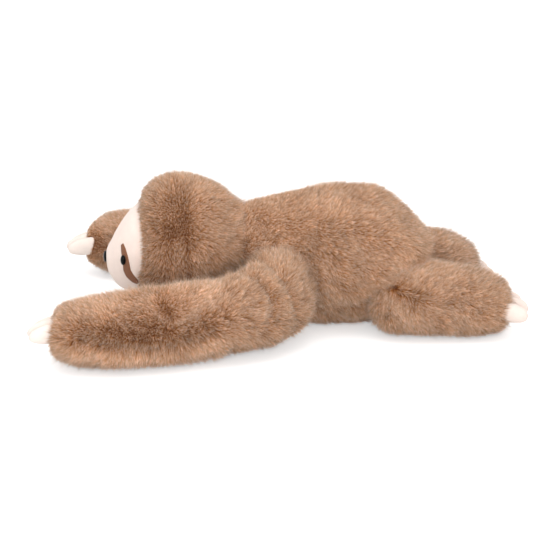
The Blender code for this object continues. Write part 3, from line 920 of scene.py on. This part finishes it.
def plant(name, place, normal, tips, way, tone_with_painted_light, slim):
    """The strands as one mesh of needles, with u as tone, painted light and shade included, and v
    from root to tip.
    """
    count = len(place)
    axis = tips - place
    long = np.linalg.norm(axis, axis=1)[:, None]
    axis = axis / np.maximum(long, 1e-6)
    across = unit(np.cross(axis, random.normal(0, 1, (count, 3))))
    up = np.cross(axis, across)
    verts, faces = needle()
    thick = (strand_radius * slim * random.uniform(0.8, 1.2, count))[:, None]
    points = np.empty((count, 4, 3))
    for k, (x, y, z) in enumerate(verts):
        points[:, k] = place + across * x * thick + up * y * thick + axis * z * long
    corners = ((np.arange(count) * 4)[:, None, None] + faces[None]).reshape(-1)
    mesh = bpy.data.meshes.new(name)
    mesh.vertices.add(count * 4)
    mesh.vertices.foreach_set("co", points.astype(np.float32).ravel())
    mesh.loops.add(len(corners))
    mesh.loops.foreach_set("vertex_index", corners.astype(np.int32))
    mesh.polygons.add(len(corners) // 3)
    mesh.polygons.foreach_set("loop_start", np.arange(0, len(corners), 3, dtype=np.int32))
    mesh.polygons.foreach_set("use_smooth", np.ones(len(corners) // 3, bool))
    mesh.update(calc_edges=True)
    u = np.clip(tone_with_painted_light, 0.02, 0.98)[:, None]
    # The shade differs a touch from edge to edge, so that no face has an empty map
    flat = np.zeros(4)
    flat[[k for k in np.argsort(verts[:, 0]) if verts[k, 2] < 0.5]] = (-0.006, 0, 0.006)
    uv = np.empty((count, 4, 2))
    uv[:, :, 0] = u + flat[None]
    uv[:, :, 1] = verts[None, :, 2] * 0.98 + 0.01
    # Soft normals: mostly the skin's own, a little round each strand
    radial = points - place[:, None] - (axis * long)[:, None] * verts[None, :, 2:]
    radial = unit(radial.reshape(-1, 3)).reshape(count, 4, 3)
    radial[:, verts[:, 2] > 0.5] = way[:, None]
    soft = unit((radial * 0.5 + normal[:, None] * 0.5).reshape(-1, 3))
    mesh.normals_split_custom_set_from_vertices(soft)
    layer = mesh.uv_layers.new(name="OFBake")
    layer.data.foreach_set("uv", uv.reshape(-1, 2)[corners].astype(np.float32).ravel())
    obj = placed(name, mesh)
    dress(obj, "fur")
    return obj


TREES = {obj: BVHTree.FromObject(obj, bpy.context.evaluated_depsgraph_get()) for obj, _ in skins}
turning = waves(3, 0.07)
ruffle = waves(4, 0.028)
blotch = waves(5, 0.045)
speck = waves(6, 0.016)


def depth_in(others, points):
    """How deep each point lies inside any of the other skins, negative outside."""
    deepest = np.full(len(points), -1.0)
    for other in others:
        tree = TREES[other]
        for i, p in enumerate(points):
            at, way, _, far = tree.find_nearest(p, 0.05)
            if at is not None:
                inside = (Vector(p) - at).dot(way) < 0
                deepest[i] = max(deepest[i], far if inside else -far)
    return deepest


def claw_distance(points):
    """Distance from the nearest claw's axis, with the claw's oval taken as round."""
    best = np.full(len(points), 1.0)
    for root, tip, half in claw_axes:
        stretch = np.array((1, claw_half_height / half, 1))
        line = np.array((root, tip)) * stretch
        best = np.minimum(best, distance_to(points * stretch, line)[0])
    return best


def cover(skin, names, count, keep, lay, lean, length, lines, adjust=None):
    """Plants one skin's pile and shares it between the named pieces.

    lay gives the way the strands lean, and a line is (points, reach, strength, painted shade),
    with a strength that parts the pile there, or a negative one that closes it over the line,
    and painted shade along the line, or painted light where it is negative.
    """
    count = int(count * (1))
    others = [obj for obj in TREES if obj is not skin]

    def weight(centre, normal):
        # Little pile grows inside another skin or flat on the table
        hidden = ramp(depth_in(others, centre), 0, 0.004)
        low = (normal[:, 2] < -0.6) & (centre[:, 2] < 0.012)
        return (1 - 0.85 * hidden) * np.where(low, 0.35, 1.0)

    place, normal = roots_on(skin, count, weight)
    far = claw_distance(place)
    kept = keep(place) & (far > claw_clear) & (place[:, 2] > root_floor)
    order = np.nonzero(kept)[0]
    order = order[np.argsort(place[order, 0])]
    place, normal, far = place[order], normal[order], far[order]
    ways = along_skin(lay(place, normal), normal)
    # Slow waves over the skin lift, shade and turn the pile
    leans = lean + 0.16 * ruffle(place)
    tones_with_painted_light = 0.5 + 0.035 * blotch(place) + 0.03 * speck(place)
    turn = (0.45 * turning(place) + 0.35 * ruffle(place[:, ::-1]))[:, None]
    ways = ways * np.cos(turn) + np.cross(normal, ways) * np.sin(turn)
    for line, reach, strength, painted_shade in lines:
        gap, near = distance_to(place, line)
        away = along_skin(place - near, normal)
        upright = bell(gap, 0.004) * (strength > 0)
        share = (abs(strength) * bell(gap, reach) * (1 - upright))[:, None]
        ways = unit(ways * (1 - np.minimum(share, 1)) + away * share * np.sign(strength))
        leans = leans * (1 - 0.7 * upright * abs(strength)) + 0.25 * share[:, 0]
        # Painted shade along each line, painted light where it is negative
        tones_with_painted_light = tones_with_painted_light - painted_shade * bell(gap, reach * 0.45)
    # Painted contact shade near the table
    tones_with_painted_light = tones_with_painted_light - 0.16 * ramp(place[:, 2], 0.011, -0.007)
    full = length(place)
    lengths = full * np.clip((far - 0.005) / 0.018, claw_trim, 1)
    # Over the foot's claws the pile lies forward, along them
    near_claw = ramp(far, 0.026, -0.01) * (place[:, 0] > 0)
    ways = unit(mix(ways, np.array((1.0, 0, 0)), near_claw[:, None]))
    leans = mix(leans, 1.15, near_claw)
    lengths = mix(lengths, 1.05 * full, near_claw)
    if adjust:
        leans, lengths, tones_with_painted_light = adjust(place, leans, lengths, tones_with_painted_light)
    pieces = []
    for i, name in enumerate(names):
        part = slice(len(place) * i // len(names), len(place) * (i + 1) // len(names))
        p, n = place[part], normal[part]
        made = strands(p, n, ways[part], leans[part], lengths[part], tones_with_painted_light[part])
        pieces.append(plant(name, p, n, *made))
    return pieces


def torso_lay(p, n):
    return np.array((1, 0, -0.35)) - ramp(p[:, :1], 0.09, 0.06) * (0, 0, 0.5)


def torso_keep(p):
    return np.linalg.norm(p - np.array(neck), axis=1) > neck_ball + 0.001


def torso_adjust(p, leans, lengths, tones_with_painted_light):
    """Flatter, shorter pile in front, longer over the near leg, painted light at the rear, painted
    shade on the flanks.
    """
    x, y, _ = p.T
    # Painted light on the rump
    rear = ramp(x, 0.11, 0.04)
    front = ramp(x, 0.03, -0.03)
    filled = bell(distance_to(p, line_on(LEG_FILL, -1))[0], fill_reach)
    lengths = lengths * (1 + 0.3 * filled) * (1 - 0.25 * front)
    # Painted shade on the flanks ahead of the legs
    flank_painted_shade = ramp(np.abs(y), 0.045, 0.02) * ramp(x, 0.11, -0.03)
    return leans + 0.25 * front, lengths, tones_with_painted_light + 0.12 * rear - 0.05 * flank_painted_shade


# The last number of each line is painted shade in the creases and partings, and painted light over
# the leg's fill where negative
torso_lines = []
for _, side in SIDES:
    torso_lines += [
        (line_on(SHOULDER_CREASE, side), 0.016, 0.5, 0.1),
        (line_on(LEG_CREASE, side), 0.02, 0.3, 0.06),
        (line_on(LEG_FILL, side), fill_reach, -0.8, -0.08),
        (line_on(BELLY_PARTING, side), 0.012, 0.8, 0.07),
    ]
torso_fur = cover(
    torso,
    ("torso_fur_front", "torso_fur_middle", "torso_fur_rear"),
    142000,
    torso_keep,
    torso_lay,
    0.95,
    lambda p: 0.0112,
    torso_lines,
    torso_adjust,
)


def brow(p):
    """1 on the steep edge over the top of the face, 0 elsewhere."""
    edge = ramp(p[:, 0], seam_x + 0.006, -0.003)
    return edge * np.clip(over_face(p) / 0.03 + 0.3, 0, 1) * high_up(p)


def head_keep(p):
    x = p[:, 0]
    above = (over_face(p) > 0) & (high_up(p) > 0.3) & (x > seam_x - 0.002)
    return (x > seam_x + 0.0008 + seam_edge(p)) | above


def head_lay(p, n):
    """Back over the neck, down over the cheeks and up over the brow."""
    behind = np.clip((p[:, 0] + 0.112) / 0.02, -1, 1)[:, None]
    front = np.array((0.05, 0, -0.7)) * np.maximum(-behind, 0.05)
    ways = np.array((0.8, 0, -0.5)) * np.maximum(behind, 0) + front
    return mix(ways, np.array((0.3, 0, 1.0)), brow(p)[:, None])


def head_adjust(p, leans, lengths, tones_with_painted_light):
    """Short and upright at the face's seam, flatter behind, painted shade low and mid-side, painted
    light behind.
    """
    x, _, z = p.T
    from_seam = ramp(x - seam_x - seam_edge(p), 0, 0.012)
    low = ramp(z, 0.085, -0.03) * ramp(x, -0.115, -0.02)
    behind = ramp(x, -0.105, 0.03)
    top = brow(p)
    leans = leans * (0.35 + 0.3 * from_seam) * (1 - top)
    leans = leans + 0.25 * low + 0.45 * behind + 0.5 * top
    lengths = lengths * (0.72 + 0.28 * from_seam) * (1 + 0.2 * behind) * (1 - 0.25 * top)
    # Painted shade down the middle of the head's side and low on the cheeks, painted light behind
    middle = np.clip(1 - np.abs(x + 0.122) / 0.03, 0, 1) * ramp(z, 0.15, -0.04)
    return leans, lengths, tones_with_painted_light - 0.03 * middle - 0.09 * low + 0.02 * behind


# The partings behind the cheeks get painted shade along them
head_fur = cover(
    head,
    ("head_fur_front", "head_fur_rear"),
    106000,
    head_keep,
    head_lay,
    0.5,
    lambda p: np.interp(p[:, 2], (0.12, 0.16), (0.0112, 0.0094)),
    [(line_on(HEAD_PARTING, side), 0.016, 0.3, 0.07) for _, side in SIDES],
    head_adjust,
)
for skin, body, fill in ((torso, "torso", 0.8), (head, "head", 0.9), (face, "head", 0.9)):
    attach(skin, body)
for made in torso_fur:
    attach(made, "torso")
for made in head_fur:
    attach(made, "head")


def arm_lay(side):
    centres = np.array([ring[0] for ring in arm_rings(side)])
    # The way from ring to ring towards the hand
    ahead = np.gradient(centres, axis=0)
    ahead[:8] = ahead[8]
    ahead = unit(ahead)
    nearest = nearest_of(centres)

    def lay(p, n):
        near = nearest(p)
        # Towards the hand on the forearm, back over the folds from the elbow on
        share = ramp(p[:, 0], -0.165, 0.08)[:, None]
        round_arm = np.cross(n, ahead[near]) * -side
        on_top = np.clip(n[:, 2:] * 1.5 - 0.4, 0.1, 1)
        ways = ahead[near] * np.cos(math.pi * share) + round_arm * np.sin(math.pi * share) * on_top
        ways[:, 2] += np.where(p[:, 2] > 0.045, 0.35, -0.45) * (1 - share[:, 0])
        return ways

    return lay


def leg_length(side):
    """Longer pile on top towards the foot."""
    more = 0.0045 if side > 0 else 0.002
    return lambda p: 0.0112 + more * ramp(p[:, 0], 0.17, 0.04) * ramp(p[:, 2], 0.04, 0.02)


def arm_adjust(side):
    """Upright pile with painted shade above the forearm's parting and towards the shoulder, and
    shorter pile in the folds.
    """
    above = line_on(FOREARM_PARTING, side) + (0, -side * 0.006, 0.012)
    folds = [line_on(line, side) + (0.001, 0, 0) for line in (UPPER_FOLD, ELBOW_FOLD, NOTCH, NOTCH)]

    def adjust(p, leans, lengths, tones_with_painted_light):
        x, _, z = p.T
        force = bell(distance_to(p, above)[0], 0.017)
        leans = leans * (1 - 0.75 * force)
        # A touch lighter overall, with painted shade above the parting and towards the shoulder
        tones_with_painted_light = tones_with_painted_light + 0.04 - 0.07 * force - 0.09 * ramp(x, -0.09, 0.03)
        under = ramp(z, 0.035, -0.02) * ramp(x, -0.075, 0.02)
        lengths = lengths * (1 - 0.25 * under)
        for fold in folds:
            lengths = lengths * (1 - 0.4 * bell(distance_to(p, fold)[0], 0.005))
        if side > 0:
            # The far hand's claws show almost whole
            end = ramp(x, -0.222, -0.02)
            leans = leans * (1 - 0.9 * end)
            lengths = lengths * (1 - 0.45 * end)
            # Painted light on the far hand
            tones_with_painted_light = tones_with_painted_light + 0.06 * end
        return leans, lengths, tones_with_painted_light

    return adjust


def off_table(p):
    return p[:, 2] > 0.0015


for letter, side in SIDES:
    arm = arms[letter]
    parting, upper_fold, elbow_fold, notch = (
        line_on(line, side) for line in (FOREARM_PARTING, UPPER_FOLD, ELBOW_FOLD, NOTCH)
    )
    # The last number of each line is painted shade along the parting, in the folds and the notch, and
    # painted light where negative: on the forearm's lower strip, above the parting and beside the
    # folds
    arm_lines = [
        (parting, 0.022, 0.8, 0.04),
        (parting, 0.011, 0, 0.22),
        (parting - (0, 0, 0.018), 0.02, 0, -0.26),
        (parting + (0, -side * 0.03, 0.036), 0.045, 0, -0.12),
        (upper_fold + (0.001, 0, 0), 0.01, 0, 0.18),
        (elbow_fold + (0.001, 0, 0), 0.01, 0, 0.2),
        (upper_fold - (0.009, 0, 0), 0.014, 0, -0.1),
        (elbow_fold - (0.009, 0, 0), 0.014, 0, -0.1),
        (notch, 0.014, 0, 0.2),
    ]
    arm_fur = cover(
        arm,
        (f"arm_fur_{letter}_hand", f"arm_fur_{letter}_shoulder"),
        120000,
        off_table,
        arm_lay(side),
        0.72,
        lambda p: 0.012,
        arm_lines,
        arm_adjust(side),
    )
    for made in (arm, *arm_fur):
        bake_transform(made)
    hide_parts("upper_arm_cover_" + letter, "forearm_cover_" + letter)
    leg = legs[letter]
    # The last number of each line is painted shade in the crease, the whorl and along the seam, and
    # painted light over the fill
    leg_lines = [
        (line_on(LEG_CREASE, side), 0.014, 0.4, 0.07),
        (line_on(LEG_FILL, side), 0.012, 0, -0.1),
        (line_on(LEG_WHORL, side), 0.022, 0.9, 0.12),
        (line_on(LEG_SEAM, side), 0.012, 0.45, 0.05),
    ]
    leg_fur = cover(
        leg,
        (f"leg_fur_{letter}",),
        64000,
        off_table,
        lambda p, n: np.array((1, 0, -0.25)),
        0.75,
        leg_length(side),
        leg_lines,
    )
    for made in (leg, *leg_fur, *claws[letter][1]):
        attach(made, "leg_" + letter)
    for made in claws[letter][0]:
        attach(made, "forearm_" + letter)
    for made in (*claws[letter][0], *claws[letter][1]):
        dress(made, "felt" if made.name.startswith("hand") else "foot_felt_painted_shade")
    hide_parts("leg_cover_" + letter)
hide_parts("torso_cover")
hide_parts("head_cover")
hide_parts("face_panel")
for skin in (torso, head, *arms.values(), *legs.values()):
    dress(skin, "backing")
dress(face, "velboa")

# Eyes, nose and eye stripes

FACE_TREE = BVHTree.FromObject(face, bpy.context.evaluated_depsgraph_get())
# Place ahead of the seam, turn up from the side in degrees, and width
STRIPE = (
    (0.492, 30, 0.32),
    (0.457, 20, 0.68),
    (0.415, 8, 0.88),
    (0.385, -3, 0.92),
    (0.37, -13, 0.98),
    (0.305, -21, 1.0),
    (0.185, -29, 0.84),
    (0.075, -34, 0.35),
)
stripe_half_width = eye_size[1] * 1.1
stripe_proud = 0.0014
stripe_sink = 0.0001
stripe_thickness = 0.0005


def stripe_point(t, side):
    """A point of the stripe's centre line on the face, and the stripe's width there."""
    places = np.linspace(0, 1, len(STRIPE))
    at, degrees, width = (np.interp(t, places, column) for column in zip(*STRIPE))
    shares = [np.interp(at, face_rows[:, 0], face_rows[:, k]) for k in (1, 2, 3)]
    centre, _, _, w, h = face_ring(at, *shares)
    angle = math.radians(degrees)
    return centre + Y * side * math.cos(angle) * w + Z * math.sin(angle) * h, width


def stripe_patch(letter, side):
    """The eye stripe: a soft patch that follows the face, sunk into it at its rim."""
    bm = bmesh.new()
    bmesh.ops.create_grid(bm, x_segments=48, y_segments=10, size=0.5)
    for v in bm.verts:
        t, across = v.co.x + 0.5, v.co.y * 2
        here, width = stripe_point(t, side)
        way = stripe_point(t + 0.04, side)[0] - stripe_point(t - 0.04, side)[0]
        _, normal, _, _ = FACE_TREE.find_nearest(here)
        beside = normal.cross(way).normalized()
        target = here + beside * across * width * stripe_half_width
        foot, normal, _, _ = FACE_TREE.find_nearest(target)
        rim = max(abs(across), abs(t * 2 - 1) ** 12)
        v.co = foot + normal * (stripe_proud * math.sqrt(max(1 - rim**4, 0)) - stripe_sink)
    bmesh.ops.solidify(bm, geom=bm.faces, thickness=stripe_thickness)
    bmesh.ops.recalc_face_normals(bm, faces=bm.faces)
    patch = piece("eye_stripe_" + letter, bm)
    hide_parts("eye_patch_" + letter)
    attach(patch, "head")
    dress(patch, "stripe")


def button(name, node, washer, size):
    """A polished dome with its rim on the cloth, where the solid one sits."""
    wide, tall, proud = size
    world = frame["nodes"]
    middle = Vector(coordinates(world[node]).mean(0))
    out = (middle - Vector(coordinates(world[washer]).mean(0))).normalized()
    tip = (coordinates(world[node]) @ np.array(out)).max()
    seat = middle + out * (tip - middle.dot(out) - proud)
    across = Z.cross(out).normalized()
    up = out.cross(across)
    place = Matrix((across * wide, up * tall, out * proud)).transposed().to_4x4()
    place.translation = seat
    bm = bmesh.new()
    bmesh.ops.create_uvsphere(bm, u_segments=48, v_segments=32, radius=1, matrix=place)
    dome = piece(name, bm)
    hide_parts(node)
    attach(dome, "head")
    dress(dome, "black")


for letter, side in SIDES:
    stripe_patch(letter, side)
    button("eye_dome_" + letter, "eye_" + letter, "eye_washer_" + letter, eye_size)
button("nose_dome", "nose", "nose_washer", nose_size)

# The solids that stay: stuffings and washers

for name, node in frame["nodes"].items():
    kind = "washer" if "washer" in name else "fill"
    node.data.materials.clear()
    node.data.materials.append(MATERIALS[kind])

# Table, light and camera


def seen_rays(nodes, links):
    """1 on rays that see the backdrop: from the camera, in a reflection or through something."""
    path = add_node(nodes, "LightPath")
    total = path.outputs["Is Camera Ray"]
    for other in ("Is Glossy Ray", "Is Transmission Ray"):
        both = add_node(nodes, "Math", "ADD")
        both.use_clamp = True
        links.new(total, both.inputs[0])
        links.new(path.outputs[other], both.inputs[1])
        total = both.outputs[0]
    return total


bm = bmesh.new()
bmesh.ops.create_grid(bm, x_segments=1, y_segments=1, size=6)
floor = piece("floor", bm)
ground = material("floor", (0.82, 0.82, 0.82), 0.9, specular=0.5)
nodes, links = ground.node_tree.nodes, ground.node_tree.links
shader = nodes["Principled BSDF"]
glow = add_node(nodes, "Math", "MULTIPLY")
glow.inputs[1].default_value = 0.5
links.new(seen_rays(nodes, links), glow.inputs[0])
shader.inputs["Emission Color"].default_value = (1, 1, 1, 1)
links.new(glow.outputs[0], shader.inputs["Emission Strength"])
floor.data.materials.append(ground)

world = bpy.data.worlds.new("studio")
world.use_nodes = True
nodes, links = world.node_tree.nodes, world.node_tree.links
back = nodes["Background"]
back.inputs["Color"].default_value = (1, 1, 1, 1)
level = add_node(nodes, "MapRange", To_Min=0.84, To_Max=1.0)
links.new(seen_rays(nodes, links), level.inputs[0])
links.new(level.outputs[0], back.inputs["Strength"])
bpy.context.scene.world = world


def lamp(name, place, target, size, power):
    light = bpy.data.lights.new(name, "AREA")
    light.shape = "DISK"
    light.size = size
    light.energy = power
    obj = placed(name, light)
    obj.location = place
    obj.rotation_euler = (Vector(target) - Vector(place)).to_track_quat("-Z", "Y").to_euler()


lamp("overhead", (0.05, -0.35, 1.6), (0, 0, 0), 1.4, 12)
lamp("front", (0.05, -1.6, 0.55), (0, 0, 0.03), 1.2, 12)

# The photograph's camera looks down on the toy's near side, with the focal length in pixels
camera_tilt, camera_distance = math.radians(19), 1.85
focal_pixels, picture_pixels = 1541, 550
camera = bpy.data.cameras.new("camera")
camera.sensor_width = 36
camera.lens = focal_pixels / picture_pixels * camera.sensor_width
view = placed("camera", camera)
target = Vector((-0.0115, 0, 0.0527))
behind = Vector((0, -math.cos(camera_tilt), math.sin(camera_tilt)))
view.location = target + behind * camera_distance
view.rotation_euler = (target - view.location).to_track_quat("-Z", "Y").to_euler()
bpy.context.scene.camera = view
bpy.context.scene.view_settings.view_transform = "Standard"
